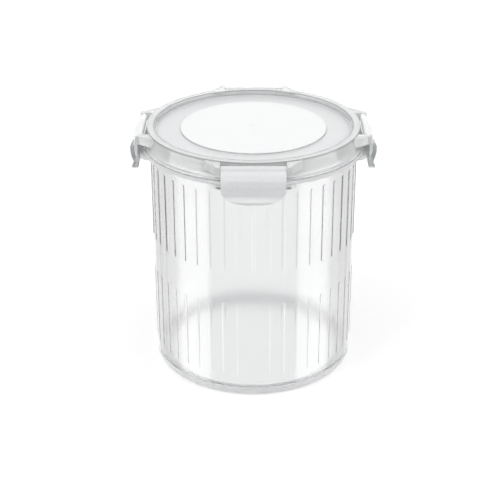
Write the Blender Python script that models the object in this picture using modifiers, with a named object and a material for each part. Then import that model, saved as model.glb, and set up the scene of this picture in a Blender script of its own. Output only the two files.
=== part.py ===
"""Clear round canister: a fluted jar, a lid with a gasket, and four clips that hinge on the lid.

Metres, +Z up, the jar's base centred on the origin. The front clip faces -Y.
"""

import math

import bmesh
import bpy
from mathutils import Matrix, Vector

# Names of the object, its helpers and its sides.
OBJECT_NAME = "clip_canister"
HELPER_NAME = "clip_canister_helpers"
SIDE_NAMES = ("front", "right", "back", "left")

# Clearances between pieces.
SEAT_GAP = 0.0003
PIVOT_CLEARANCE = 0.00009
CUT_OVERRUN = 0.004

# Facets of the round pieces. Ribs stand on every second facet of the jar.
RIB_COUNT = 44
FACETS_PER_RIB = 2
LID_FACETS = 72
PIVOT_FACETS = 20
KNUCKLE_STEPS = 9
INNER_FILLET_STEPS = 3
BASE_FILLET_STEPS = 4
TONGUE_STEPS = 5
SHARP_ANGLE = math.radians(32.0)
MERGE_DISTANCE = 0.00001
FULL_TURN = math.tau
QUARTER_TURN = math.tau / 4
HALF_SHARE = 0.5

# Heights that set the others.
OBJECT_HEIGHT = 0.1300
RIM_ROOF = 0.0016
GASKET_HEIGHT = 0.0016
NECK_RISE = 0.0056
FLANGE_THICKNESS = 0.0019

# Jar, from the foot up. Its wall leans out a little towards the flange.
JAR_RADIUS = 0.0523
JAR_DRAFT = 0.0001
JAR_WALL = 0.0019
JAR_FLOOR = 0.0024
FOOT_WIDTH = 0.0031
FOOT_RECESS_DEPTH = 0.0008
FOOT_RECESS_SLOPE = 0.0005
BASE_FILLET = 0.0040
INNER_FILLET = 0.0050
FLANGE_WIDTH = 0.0042
FLANGE_CHAMFER = 0.0004

# Neck above the flange, set out a little from the wall.
NECK_STEP_OUT = 0.0006
NECK_WALL = 0.0017
NECK_CHAMFER = 0.0004
NECK_STEP_TOP_DROP = 0.0010
NECK_STEP_HEIGHT = 0.0015

# Ribs in two equal rows, with a plain band between them.
LOWER_ROW_START = 0.0120
UPPER_ROW_DROP = 0.0057
BAND_HEIGHT = 0.0178
RIB_BASE_WIDTH = 0.0020
RIB_TOP_WIDTH = 0.0014
RIB_HEIGHT = 0.00035
RIB_EMBED = 0.0007

# Straight ledges under the flange, one for each clip.
LEDGE_HALF_LENGTH = 0.0200
LEDGE_DEPTH = 0.0050
LEDGE_DROP = 0.0011
LEDGE_CORNER_LENGTH = 0.0032
LEDGE_CORNER_DEPTH = 0.0018
LEDGE_EMBED = 0.0006

# Lid. The rim stands above a recessed panel with a raised centre.
RECESS_DEPTH = 0.0028
RECESS_WALL = 0.0009
RIM_CHAMFER = 0.0004
PANEL_THICKNESS = 0.0017
CENTRE_RADIUS = 0.0368
CENTRE_RISE = 0.0009
CENTRE_SLOPE = 0.0006
GATE_RADIUS = 0.0022
GATE_DEPTH = 0.0003
SKIRT_TOP_WALL = 0.0008
SKIRT_LIP_INSET = 0.0002
SKIRT_LIP_HEIGHT = 0.0008
SKIRT_LIP_WALL = 0.0015
SKIRT_LIP_STEP_OUT = 0.0008
SKIRT_LIP_SLOPE_HEIGHT = 0.0009
SKIRT_CHAMFER_HEIGHT = 0.0023
SKIRT_CHAMFER_OUT = 0.0004
PLUG_WALL = 0.0015
PLUG_DEPTH = 0.0040
PLUG_CHAMFER = 0.0005

# Gasket, held in the lid's channel above the jar's neck.
GASKET_CHAMFER = 0.0004

# Hinge of a clip. Its line stands outside the rim and below the lid's top.
HINGE_OUT = 0.0025
HINGE_DROP = 0.0024
KNUCKLE_RADIUS = 0.0017
TRUNNION_RADIUS = 0.00111
TRUNNION_LENGTH = 0.0018
CLIP_HALF_WIDTH = 0.0153

# Clip seen from its end: how far each bend lies outside and below the hinge.
SHOULDER_OUT = 0.0037
SHOULDER_DROP = 0.0016
BULGE_OUT = 0.0049
BULGE_TOP_DROP = 0.0042
BULGE_DROP = 0.0071
BULGE_SOFTENING = 0.0002
BULGE_END_OUT = 0.0043
BULGE_END_DROP = 0.0102
WAIST_OUT = 0.0033
WAIST_DROP = 0.0125
LIP_NECK_OUT = 0.0037
LIP_NECK_DROP = 0.0137
LIP_OUT = 0.0046
LIP_DROP = 0.0149
TONGUE_OUTER_OUT = 0.0037
TONGUE_INNER_OUT = 0.0020
TONGUE_DROP = 0.0168
FOOT_OUT = 0.0011
FOOT_DROP = 0.0155
SIDE_WALL_OUT = 0.0014
SIDE_WALL_TOP_DROP = 0.0036
HOOK_NOSE = 0.0007

# Hollow of a clip, between its side walls and above its hook.
CLIP_SIDE_WALL = 0.0016
CLIP_PANEL = 0.0018
HOLLOW_TOP_OUT = 0.0022
HOLLOW_TOP_DROP = 0.0026

# Clip seen from the front: width and first drop of the rounding at each end of the tongue.
# The photo's front clip has a round tongue, and its side clips hang straight to their ends.
ROUND_TONGUE = (0.0153, 0.0096)
STRAIGHT_TONGUE = (0.0015, 0.0153)
TONGUES = (ROUND_TONGUE, STRAIGHT_TONGUE, ROUND_TONGUE, STRAIGHT_TONGUE)

# Ears that hold a clip's trunnions, flared back into the rim.
EAR_WIDTH = 0.0026
EAR_TOP_DROP = 0.0004
EAR_HEIGHT = 0.0044
EAR_WALL = 0.0009
EAR_CHAMFER = 0.0005
EAR_EMBED = 0.0003
EAR_FLARE_OUTS = (0.0034, 0.0017, 0.0005)
EAR_FLARE_ANGLES = (math.radians(20.8), math.radians(23.2), math.radians(25.2))
EAR_INNER_ANGLE = math.radians(21.0)

# Looks: colour, roughness, metallic, alpha.
JAR_LOOK = ((0.93, 0.95, 0.95), 0.08, 0.0, 0.28)
LID_LOOK = ((0.90, 0.92, 0.93), 0.10, 0.0, 0.38)
CLIP_LOOK = ((0.86, 0.88, 0.89), 0.32, 0.0, 0.62)
GASKET_LOOK = ((0.95, 0.95, 0.94), 0.50, 0.0, 0.70)

# Heights that follow from the ones above.
CHANNEL_ROOF = OBJECT_HEIGHT - RIM_ROOF
GASKET_TOP = CHANNEL_ROOF - SEAT_GAP
GASKET_BOTTOM = GASKET_TOP - GASKET_HEIGHT
NECK_TOP = GASKET_BOTTOM - SEAT_GAP
FLANGE_TOP = NECK_TOP - NECK_RISE
FLANGE_BOTTOM = FLANGE_TOP - FLANGE_THICKNESS
LEDGE_BOTTOM = FLANGE_BOTTOM - LEDGE_DROP
LID_SEAT = FLANGE_TOP + SEAT_GAP
PANEL_TOP = OBJECT_HEIGHT - RECESS_DEPTH
HINGE_HEIGHT = OBJECT_HEIGHT - HINGE_DROP
HOOK_TOP = LEDGE_BOTTOM - SEAT_GAP

# Radii that follow from the ones above. A reach is a distance from the jar's axis.
JAR_BASE_RADIUS = JAR_RADIUS - JAR_DRAFT
NECK_OUTER_RADIUS = JAR_RADIUS + NECK_STEP_OUT
NECK_INNER_RADIUS = NECK_OUTER_RADIUS - NECK_WALL
FLANGE_RADIUS = JAR_RADIUS + FLANGE_WIDTH
PLUG_OUTER_RADIUS = NECK_INNER_RADIUS - SEAT_GAP
SKIRT_INNER_RADIUS = NECK_OUTER_RADIUS + SEAT_GAP
RIM_INNER_RADIUS = PLUG_OUTER_RADIUS - RECESS_WALL
RIM_OUTER_RADIUS = SKIRT_INNER_RADIUS + SKIRT_TOP_WALL
HINGE_REACH = RIM_OUTER_RADIUS + HINGE_OUT
LEDGE_FACE = FLANGE_RADIUS
HOOK_TIP_REACH = LEDGE_FACE + SEAT_GAP
HINGE_POINT = (0, -HINGE_REACH, HINGE_HEIGHT)
LID_PIVOT = (0, 0, LID_SEAT)


def clear_scene():
    """Remove every object that the startup scene holds."""
    for obj in list(bpy.data.objects):
        bpy.data.objects.remove(obj, do_unlink=True)


def make_collection(name):
    """Add a collection to the scene."""
    collection = bpy.data.collections.new(name)
    bpy.context.scene.collection.children.link(collection)
    return collection


def make_material(name, look):
    """Plain material with the look of one sub-part."""
    colour, roughness, metallic, alpha = look
    material = bpy.data.materials.new(name)
    material.use_nodes = True
    shader = material.node_tree.nodes["Principled BSDF"]
    shader.inputs["Base Color"].default_value = (*colour, 1.0)
    shader.inputs["Roughness"].default_value = roughness
    shader.inputs["Metallic"].default_value = metallic
    shader.inputs["Alpha"].default_value = alpha
    material.diffuse_color = (*colour, alpha)
    return material


def add_object(name, mesh, collection):
    """Link a mesh to a collection as a new object."""
    obj = bpy.data.objects.new(name, mesh)
    collection.objects.link(obj)
    return obj


def hide_helper(obj):
    """Keep a cutter or joiner out of the render."""
    obj.hide_render = True
    obj.display_type = "WIRE"
    return obj


def arc(centre, radius, start, end, steps):
    """Points along an arc, ends included."""
    points = []
    for step in range(steps + 1):
        angle = start + (end - start) * step / steps
        points.append((centre[0] + radius * math.cos(angle), centre[1] + radius * math.sin(angle)))
    return points


def mirrored(side):
    """Outline of both sides, from the points of its right side."""
    return side + [(-across, along) for across, along in reversed(side)]


def revolve(name, profile, facets, closed, collection):
    """Solid of revolution about Z from radius and height pairs, a facet facing each side."""
    start = FULL_TURN / facets * HALF_SHARE
    mesh = bpy.data.meshes.new(name)
    points = [(r * math.cos(start), r * math.sin(start), z) for r, z in profile]
    edges = [(i, i + 1) for i in range(len(points) - 1)]
    if closed:
        edges.append((len(points) - 1, 0))
    mesh.from_pydata(points, edges, [])
    obj = add_object(name, mesh, collection)
    screw = obj.modifiers.new("turn", "SCREW")
    screw.axis = "Z"
    screw.angle = FULL_TURN
    screw.steps = facets
    screw.render_steps = facets
    screw.use_merge_vertices = True
    screw.merge_threshold = MERGE_DISTANCE
    screw.use_smooth_shade = True
    return obj


def extrude_outline(name, outline, half_thickness, matrix, collection):
    """Solid plate from a closed outline, made as a filled curve and turned into a mesh."""
    curve = bpy.data.curves.new(name, "CURVE")
    curve.dimensions = "2D"
    curve.fill_mode = "BOTH"
    curve.extrude = half_thickness
    spline = curve.splines.new("POLY")
    spline.points.add(len(outline) - 1)
    for point, (x, y) in zip(spline.points, outline):
        point.co = (x, y, 0, 1)
    spline.use_cyclic_u = True
    maker = add_object(name + "_curve", curve, collection)
    bpy.context.view_layer.update()
    graph = bpy.context.evaluated_depsgraph_get()
    mesh = bpy.data.meshes.new_from_object(maker.evaluated_get(graph))
    bpy.data.objects.remove(maker, do_unlink=True)
    shell = bmesh.new()
    shell.from_mesh(mesh)
    bmesh.ops.remove_doubles(shell, verts=shell.verts, dist=MERGE_DISTANCE)
    bmesh.ops.transform(shell, matrix=matrix, verts=shell.verts)
    bmesh.ops.recalc_face_normals(shell, faces=shell.faces)
    shell.to_mesh(mesh)
    shell.free()
    return add_object(name, mesh, collection)


def across_matrix():
    """Turn an outline of reach and height into one that runs along a clip's width."""
    return Matrix(((0, 0, 1, 0), (-1, 0, 0, 0), (0, 1, 0, 0), (0, 0, 0, 1)))


def facing_matrix(reach):
    """Turn an outline of width and height into one that faces the front, at a reach."""
    return Matrix(((1, 0, 0, 0), (0, 0, 1, -reach), (0, 1, 0, 0), (0, 0, 0, 1)))


def level_matrix(height):
    """Turn an outline of width and reach into a level plate at a height."""
    return Matrix(((1, 0, 0, 0), (0, -1, 0, 0), (0, 0, 1, height), (0, 0, 0, 1)))


def side_matrix(index):
    """Turn from the front to the side with this index."""
    return Matrix.Rotation(QUARTER_TURN * index, 4, "Z")


def level_plate(name, outline, bottom, top, collection):
    """Plate between two heights from an outline of width and reach."""
    middle = (top + bottom) * HALF_SHARE
    half = (top - bottom) * HALF_SHARE
    return extrude_outline(name, outline, half, level_matrix(middle), collection)


def hinge_rod(name, radius, half_length, collection):
    """Cylinder on the front clip's hinge line."""
    shape = bmesh.new()
    bmesh.ops.create_cone(
        shape,
        cap_ends=True,
        segments=PIVOT_FACETS,
        radius1=radius,
        radius2=radius,
        depth=half_length + half_length,
        matrix=Matrix.Translation(HINGE_POINT) @ Matrix.Rotation(QUARTER_TURN, 4, "Y"),
    )
    mesh = bpy.data.meshes.new(name)
    shape.to_mesh(mesh)
    shape.free()
    return add_object(name, mesh, collection)


def combine(obj, other, operation):
    """Join, cut or clip a body with another one."""
    modifier = obj.modifiers.new(other.name, "BOOLEAN")
    modifier.operation = operation
    modifier.solver = "EXACT"
    modifier.object = hide_helper(other)


def copy_to_sides(obj, collection):
    """Helper on the front side, copied to the other three sides."""
    copies = [obj]
    for index in range(1, len(SIDE_NAMES)):
        mesh = obj.data.copy()
        mesh.transform(side_matrix(index))
        copies.append(add_object(obj.name + "_" + SIDE_NAMES[index], mesh, collection))
    return copies


def finish_body(obj, material, pivot):
    """Settle the modifiers, put the origin on the pivot, and set shading and material."""
    bpy.context.view_layer.update()
    graph = bpy.context.evaluated_depsgraph_get()
    mesh = bpy.data.meshes.new_from_object(obj.evaluated_get(graph))
    mesh.transform(Matrix.Translation(-Vector(pivot)))
    mesh.name = obj.name
    mesh.materials.clear()
    mesh.materials.append(material)
    mesh.shade_smooth()
    mesh.set_sharp_from_angle(angle=SHARP_ANGLE)
    obj.modifiers.clear()
    obj.data = mesh
    obj.location = pivot
    return obj


def jar_profile():
    """Radius and height pairs of the jar, from the floor inside, over the neck, to the base."""
    floor_top = FOOT_RECESS_DEPTH + JAR_FLOOR
    floor_centre = (JAR_BASE_RADIUS - JAR_WALL - INNER_FILLET, floor_top + INNER_FILLET)
    base_centre = (JAR_BASE_RADIUS - BASE_FILLET, BASE_FILLET)
    foot_inner = JAR_BASE_RADIUS - BASE_FILLET - FOOT_WIDTH
    step_top = FLANGE_TOP - NECK_STEP_TOP_DROP
    points = [(0, floor_top)]
    points += arc(floor_centre, INNER_FILLET, -QUARTER_TURN, 0, INNER_FILLET_STEPS)
    points.append((JAR_RADIUS - JAR_WALL, step_top - NECK_STEP_HEIGHT))
    points.append((NECK_INNER_RADIUS, step_top))
    points.append((NECK_INNER_RADIUS, NECK_TOP - NECK_CHAMFER))
    points.append((NECK_INNER_RADIUS + NECK_CHAMFER, NECK_TOP))
    points.append((NECK_OUTER_RADIUS - NECK_CHAMFER, NECK_TOP))
    points.append((NECK_OUTER_RADIUS, NECK_TOP - NECK_CHAMFER))
    points.append((NECK_OUTER_RADIUS, FLANGE_TOP))
    points.append((FLANGE_RADIUS - FLANGE_CHAMFER, FLANGE_TOP))
    points.append((FLANGE_RADIUS, FLANGE_TOP - FLANGE_CHAMFER))
    points.append((FLANGE_RADIUS, FLANGE_BOTTOM))
    points.append((JAR_RADIUS, FLANGE_BOTTOM))
    points += arc(base_centre, BASE_FILLET, 0, -QUARTER_TURN, BASE_FILLET_STEPS)
    points.append((foot_inner, 0))
    points.append((foot_inner - FOOT_RECESS_SLOPE, FOOT_RECESS_DEPTH))
    points.append((0, FOOT_RECESS_DEPTH))
    return points


def add_rib(shape, angle, bottom, top):
    """One rib, tapered outwards and let into the wall."""
    inner = JAR_BASE_RADIUS - RIB_EMBED
    outer = JAR_RADIUS + RIB_HEIGHT
    made = bmesh.ops.create_cube(shape, size=1)["verts"]
    for vert in made:
        outside = vert.co.x > 0
        width = RIB_TOP_WIDTH if outside else RIB_BASE_WIDTH
        slope = RIB_HEIGHT if outside else 0
        end = top - slope if vert.co.z > 0 else bottom + slope
        vert.co = (outer if outside else inner, math.copysign(width * HALF_SHARE, vert.co.y), end)
    bmesh.ops.rotate(shape, verts=made, cent=(0, 0, 0), matrix=Matrix.Rotation(angle, 3, "Z"))


def make_ribs(collection):
    """All ribs of both rows, as one helper."""
    upper_top = FLANGE_BOTTOM - UPPER_ROW_DROP
    row_length = (upper_top - LOWER_ROW_START - BAND_HEIGHT) * HALF_SHARE
    shape = bmesh.new()
    for index in range(RIB_COUNT):
        angle = FULL_TURN * index / RIB_COUNT
        add_rib(shape, angle, LOWER_ROW_START, LOWER_ROW_START + row_length)
        add_rib(shape, angle, upper_top - row_length, upper_top)
    bmesh.ops.recalc_face_normals(shape, faces=shape.faces)
    mesh = bpy.data.meshes.new("ribs")
    shape.to_mesh(mesh)
    shape.free()
    return add_object("ribs", mesh, collection)


def make_ledges(collection):
    """Straight ledges under the flange that the clips' hooks catch."""
    side = [
        (LEDGE_HALF_LENGTH, LEDGE_FACE - LEDGE_DEPTH),
        (LEDGE_HALF_LENGTH, LEDGE_FACE - LEDGE_CORNER_DEPTH),
        (LEDGE_HALF_LENGTH - LEDGE_CORNER_LENGTH, LEDGE_FACE),
    ]
    top = FLANGE_BOTTOM + LEDGE_EMBED
    ledge = level_plate("ledge", mirrored(side), LEDGE_BOTTOM, top, collection)
    return copy_to_sides(ledge, collection)


def build_jar(parts, helpers):
    """The container: one moulding with foot, ribs, flange, ledges and neck."""
    jar = revolve("jar", jar_profile(), RIB_COUNT * FACETS_PER_RIB, False, parts)
    combine(jar, make_ribs(helpers), "UNION")
    for ledge in make_ledges(helpers):
        combine(jar, ledge, "UNION")
    return finish_body(jar, make_material("clear_jar", JAR_LOOK), (0, 0, 0))


def lid_profile():
    """Radius and height pairs of the lid, from its top centre, over the rim, to its underside."""
    centre_top = PANEL_TOP + CENTRE_RISE
    centre_foot = CENTRE_RADIUS + CENTRE_SLOPE
    plug_inner = PLUG_OUTER_RADIUS - PLUG_WALL
    plug_bottom = NECK_TOP - PLUG_DEPTH
    lip_radius = FLANGE_RADIUS - SKIRT_LIP_INSET
    lip_top = LID_SEAT + SKIRT_LIP_HEIGHT
    lip_inner = lip_radius - SKIRT_LIP_WALL
    chamfer_bottom = LID_SEAT + SKIRT_CHAMFER_HEIGHT
    return [
        (0, centre_top - GATE_DEPTH),
        (GATE_RADIUS - GATE_DEPTH, centre_top - GATE_DEPTH),
        (GATE_RADIUS, centre_top),
        (CENTRE_RADIUS, centre_top),
        (centre_foot, PANEL_TOP),
        (RIM_INNER_RADIUS - RIM_CHAMFER, PANEL_TOP),
        (RIM_INNER_RADIUS, PANEL_TOP + RIM_CHAMFER),
        (RIM_INNER_RADIUS, OBJECT_HEIGHT - RIM_CHAMFER),
        (RIM_INNER_RADIUS + RIM_CHAMFER, OBJECT_HEIGHT),
        (RIM_OUTER_RADIUS - RIM_CHAMFER, OBJECT_HEIGHT),
        (RIM_OUTER_RADIUS, OBJECT_HEIGHT - RIM_CHAMFER),
        (lip_radius - SKIRT_LIP_STEP_OUT, lip_top + SKIRT_LIP_SLOPE_HEIGHT),
        (lip_radius, lip_top),
        (lip_radius, LID_SEAT),
        (lip_inner, LID_SEAT),
        (SKIRT_INNER_RADIUS + SKIRT_CHAMFER_OUT, chamfer_bottom),
        (SKIRT_INNER_RADIUS, NECK_TOP),
        (SKIRT_INNER_RADIUS, CHANNEL_ROOF),
        (PLUG_OUTER_RADIUS, CHANNEL_ROOF),
        (PLUG_OUTER_RADIUS, plug_bottom + PLUG_CHAMFER),
        (PLUG_OUTER_RADIUS - PLUG_CHAMFER, plug_bottom),
        (plug_inner, plug_bottom),
        (plug_inner, PANEL_TOP - PANEL_THICKNESS),
        (centre_foot, PANEL_TOP - PANEL_THICKNESS),
        (CENTRE_RADIUS, centre_top - PANEL_THICKNESS),
        (0, centre_top - PANEL_THICKNESS),
    ]


def polar(radius, angle):
    """Width and reach of a point at an angle from the front."""
    return (radius * math.sin(angle), radius * math.cos(angle))


def ear_outline():
    """Width and reach pairs of the right ear, flared back into the rim."""
    inner = CLIP_HALF_WIDTH + SEAT_GAP
    outer = inner + EAR_WIDTH
    tip = HINGE_REACH + TRUNNION_RADIUS + PIVOT_CLEARANCE + EAR_WALL
    embed = RIM_OUTER_RADIUS - EAR_EMBED
    outline = [
        (inner, math.sqrt(embed**2 - inner**2)),
        (inner, tip - EAR_CHAMFER),
        (inner + EAR_CHAMFER, tip),
        (outer - EAR_CHAMFER, tip),
        (outer, tip - EAR_CHAMFER),
        (outer, HINGE_REACH),
    ]
    for out, angle in zip(EAR_FLARE_OUTS, EAR_FLARE_ANGLES):
        outline.append(polar(RIM_OUTER_RADIUS + out, angle))
    outline.append(polar(embed, EAR_FLARE_ANGLES[-1]))
    outline.append(polar(embed, EAR_INNER_ANGLE))
    return outline


def make_ears(collection):
    """Eight ears, two for each clip."""
    top = OBJECT_HEIGHT - EAR_TOP_DROP
    right = ear_outline()
    left = [(-across, along) for across, along in right]
    ears = []
    for name, outline in (("ear_right", right), ("ear_left", left)):
        ear = level_plate(name, outline, top - EAR_HEIGHT, top, collection)
        ears += copy_to_sides(ear, collection)
    return ears


def make_ear_bores(collection):
    """Rods that bore the blind holes of each clip's two ears."""
    half = CLIP_HALF_WIDTH + TRUNNION_LENGTH + SEAT_GAP
    bore = hinge_rod("ear_bore", TRUNNION_RADIUS + PIVOT_CLEARANCE, half, collection)
    return copy_to_sides(bore, collection)


def build_lid(parts, helpers):
    """The lid: rim, recessed panel, skirt, sealing plug and the ears of the hinges."""
    lid = revolve("lid", lid_profile(), LID_FACETS, False, parts)
    for ear in make_ears(helpers):
        combine(lid, ear, "UNION")
    for bore in make_ear_bores(helpers):
        combine(lid, bore, "DIFFERENCE")
    return finish_body(lid, make_material("clear_lid", LID_LOOK), LID_PIVOT)


def gasket_profile():
    """Closed section of the gasket, from its outer side down and round."""
    return [
        (NECK_OUTER_RADIUS, GASKET_TOP),
        (NECK_OUTER_RADIUS, GASKET_BOTTOM + GASKET_CHAMFER),
        (NECK_OUTER_RADIUS - GASKET_CHAMFER, GASKET_BOTTOM),
        (NECK_INNER_RADIUS + GASKET_CHAMFER, GASKET_BOTTOM),
        (NECK_INNER_RADIUS, GASKET_BOTTOM + GASKET_CHAMFER),
        (NECK_INNER_RADIUS, GASKET_TOP),
    ]


def build_gasket(parts):
    """The soft ring in the lid's channel."""
    gasket = revolve("gasket", gasket_profile(), LID_FACETS, True, parts)
    return finish_body(gasket, make_material("soft_gasket", GASKET_LOOK), LID_PIVOT)


def from_hinge(out, drop):
    """Reach and height of a point outside and below the hinge line."""
    return (HINGE_REACH + out, HINGE_HEIGHT - drop)


def clip_side_outline():
    """Reach and height pairs of a clip seen from its end."""
    knuckle_start = FULL_TURN - QUARTER_TURN
    knuckle = arc(from_hinge(0, 0), KNUCKLE_RADIUS, knuckle_start, 0, KNUCKLE_STEPS)
    return knuckle + [
        from_hinge(SHOULDER_OUT, SHOULDER_DROP),
        from_hinge(BULGE_OUT - BULGE_SOFTENING, BULGE_TOP_DROP),
        from_hinge(BULGE_OUT, BULGE_DROP),
        from_hinge(BULGE_END_OUT, BULGE_END_DROP),
        from_hinge(WAIST_OUT, WAIST_DROP),
        from_hinge(LIP_NECK_OUT, LIP_NECK_DROP),
        from_hinge(LIP_OUT, LIP_DROP),
        from_hinge(TONGUE_OUTER_OUT, TONGUE_DROP),
        from_hinge(TONGUE_INNER_OUT, TONGUE_DROP),
        from_hinge(FOOT_OUT, FOOT_DROP),
        (HOOK_TIP_REACH, HOOK_TOP - HOOK_NOSE),
        (HOOK_TIP_REACH, HOOK_TOP),
        (HINGE_REACH + SIDE_WALL_OUT, HOOK_TOP),
        from_hinge(SIDE_WALL_OUT, SIDE_WALL_TOP_DROP),
    ]


def clip_front_outline(round_width, round_drop):
    """Width and height pairs of a clip seen from the front, its tongue's ends rounded."""
    round_height = HINGE_HEIGHT - round_drop
    depth = TONGUE_DROP - round_drop
    flat = CLIP_HALF_WIDTH - round_width
    side = [(CLIP_HALF_WIDTH, HINGE_HEIGHT + CUT_OVERRUN)]
    for step in range(TONGUE_STEPS):
        angle = QUARTER_TURN * step / TONGUE_STEPS
        width = flat + round_width * math.cos(angle)
        side.append((width, round_height - depth * math.sin(angle)))
    return mirrored(side)


def clip_hollow_outline():
    """Reach and height pairs of the hollow behind a clip's panel."""
    mouth = HINGE_REACH + SIDE_WALL_OUT - CUT_OVERRUN
    hollow_top = HINGE_HEIGHT - HOLLOW_TOP_DROP
    return [
        (mouth, HOOK_TOP),
        (HINGE_REACH + BULGE_END_OUT - CLIP_PANEL, HOOK_TOP),
        from_hinge(BULGE_OUT - CLIP_PANEL, BULGE_DROP),
        from_hinge(BULGE_OUT - CLIP_PANEL, BULGE_TOP_DROP),
        from_hinge(HOLLOW_TOP_OUT, HOLLOW_TOP_DROP),
        (mouth, hollow_top),
    ]


def build_clip(index, parts, helpers):
    """One clip: knuckle with trunnions, bowed panel, side walls, hook and finger tongue."""
    name = "clip_" + SIDE_NAMES[index]
    clip = extrude_outline(name, clip_side_outline(), CLIP_HALF_WIDTH, across_matrix(), parts)
    middle = facing_matrix(HINGE_REACH + BULGE_OUT * HALF_SHARE)
    front_outline = clip_front_outline(*TONGUES[index])
    front = extrude_outline(name + "_front", front_outline, CUT_OVERRUN, middle, helpers)
    inner_width = CLIP_HALF_WIDTH - CLIP_SIDE_WALL
    hollow_outline = clip_hollow_outline()
    hollow = extrude_outline(
        name + "_hollow", hollow_outline, inner_width, across_matrix(), helpers
    )
    half = CLIP_HALF_WIDTH + TRUNNION_LENGTH
    trunnions = hinge_rod(name + "_trunnions", TRUNNION_RADIUS, half, helpers)
    combine(clip, front, "INTERSECT")
    combine(clip, hollow, "DIFFERENCE")
    combine(clip, trunnions, "UNION")
    finish_body(clip, make_material("milky_" + name, CLIP_LOOK), HINGE_POINT)
    clip.matrix_world = side_matrix(index) @ Matrix.Translation(HINGE_POINT)
    return clip


def main():
    """Build every piece of the canister."""
    clear_scene()
    parts = make_collection(OBJECT_NAME)
    helpers = make_collection(HELPER_NAME)
    build_jar(parts, helpers)
    build_lid(parts, helpers)
    build_gasket(parts)
    for index in range(len(SIDE_NAMES)):
        build_clip(index, parts, helpers)
    bpy.context.view_layer.update()


main()
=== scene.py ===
"""Looks of a clear round clip-lock canister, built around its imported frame.

Metres, +Z up, the jar's base centred on the origin and the front clip facing -Y.
"""

from __future__ import annotations

import logging
import math
from collections.abc import Callable, Sequence
from dataclasses import dataclass
from enum import Enum
from typing import Any

import bmesh
import bpy
from mathutils import Matrix, Vector


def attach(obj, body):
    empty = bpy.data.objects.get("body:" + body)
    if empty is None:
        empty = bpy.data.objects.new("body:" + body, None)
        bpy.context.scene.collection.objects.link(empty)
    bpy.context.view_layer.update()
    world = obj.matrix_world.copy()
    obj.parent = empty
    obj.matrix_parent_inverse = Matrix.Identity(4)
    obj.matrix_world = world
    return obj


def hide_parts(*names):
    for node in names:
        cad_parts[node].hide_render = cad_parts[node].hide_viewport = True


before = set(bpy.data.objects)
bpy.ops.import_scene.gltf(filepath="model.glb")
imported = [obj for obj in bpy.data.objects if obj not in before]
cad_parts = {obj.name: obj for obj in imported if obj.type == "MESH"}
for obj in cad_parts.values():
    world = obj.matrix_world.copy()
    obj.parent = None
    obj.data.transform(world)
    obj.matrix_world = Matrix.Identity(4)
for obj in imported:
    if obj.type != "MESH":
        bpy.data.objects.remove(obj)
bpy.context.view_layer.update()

Point = tuple[float, float]
Corner = tuple[float, float, float]
Colour = tuple[float, float, float]
Rgba = tuple[float, float, float, float]

LOG = logging.getLogger("canister")
MM = 0.001
HALF = 0.5
QUARTER_TURN = math.pi / 2
FULL_TURN = math.tau
QUARTER_DEGREES = 90.0
SMOOTH_ANGLE = math.radians(40.0)
STRAIGHT_ANGLE = math.radians(1.0)
WELD_DISTANCE = 0.000002
MATRIX_SIZE = 4
LEAST_CORNERS = 3
LEAST_SINE = 0.01
LONGEST_ROUNDING_SHARE = 0.48
FLAT_FACE_WEIGHT = 90
PIN_FACETS = 32
BLACK: Rgba = (0.0, 0.0, 0.0, 1.0)
WHITE: Rgba = (1.0, 1.0, 1.0, 1.0)
MIX_SHARE, MIX_FIRST, MIX_SECOND, MIX_COLOUR = 0, 6, 7, 2


class Side(Enum):
    """Sides of the canister, each with its quarter turns from the front."""

    FRONT = 0
    RIGHT = 1
    BACK = 2
    LEFT = 3

    @property
    def word(self) -> str:
        """Name of the side as the frame's nodes give it."""
        return self.name.lower()

    @property
    def turn(self) -> Matrix:
        """Matrix that turns a piece from the front to this side."""
        return Matrix.Rotation(QUARTER_TURN * self.value, MATRIX_SIZE, "Z")


class JarZone(Enum):
    """Zones of the jar that have a finish of their own."""

    BODY = 0
    BASE = 1
    CORNER = 2


class LidZone(Enum):
    """Zones of the lid that have a finish of their own. STEP and EDGE carry painted shade: dark grey
    that draws the dark lines at the panel's step and along the rim's edges.
    """

    RIM = 0
    RING = 1
    DISC = 2
    # Painted shade: the slope round the disc gets a dark grey colour that draws a dark line round it.
    STEP = 3
    # Painted shade: the rim's top edges get a dark grey colour that draws thin dark lines along them.
    EDGE = 4
    SKIRT = 5


class Shade:
    """A socket's value, so that shader maths reads as an expression."""

    def __init__(self, graph: Graph, socket: bpy.types.NodeSocket) -> None:
        """Keep the socket.

        Args:
            graph: Nodes that the socket belongs to.
            socket: Output socket that holds the value.
        """
        self.graph = graph
        self.socket = socket

    def __add__(self, other: Shade | float) -> Shade:
        """Sum."""
        return self.graph.math("ADD", self, other)

    def __radd__(self, other: float) -> Shade:
        """Sum with the number first."""
        return self.graph.math("ADD", other, self)

    def __sub__(self, other: Shade | float) -> Shade:
        """Difference."""
        return self.graph.math("SUBTRACT", self, other)

    def __rsub__(self, other: float) -> Shade:
        """Difference with the number first."""
        return self.graph.math("SUBTRACT", other, self)

    def __mul__(self, other: Shade | float) -> Shade:
        """Product."""
        return self.graph.math("MULTIPLY", self, other)

    def __rmul__(self, other: float) -> Shade:
        """Product with the number first."""
        return self.graph.math("MULTIPLY", other, self)


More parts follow.
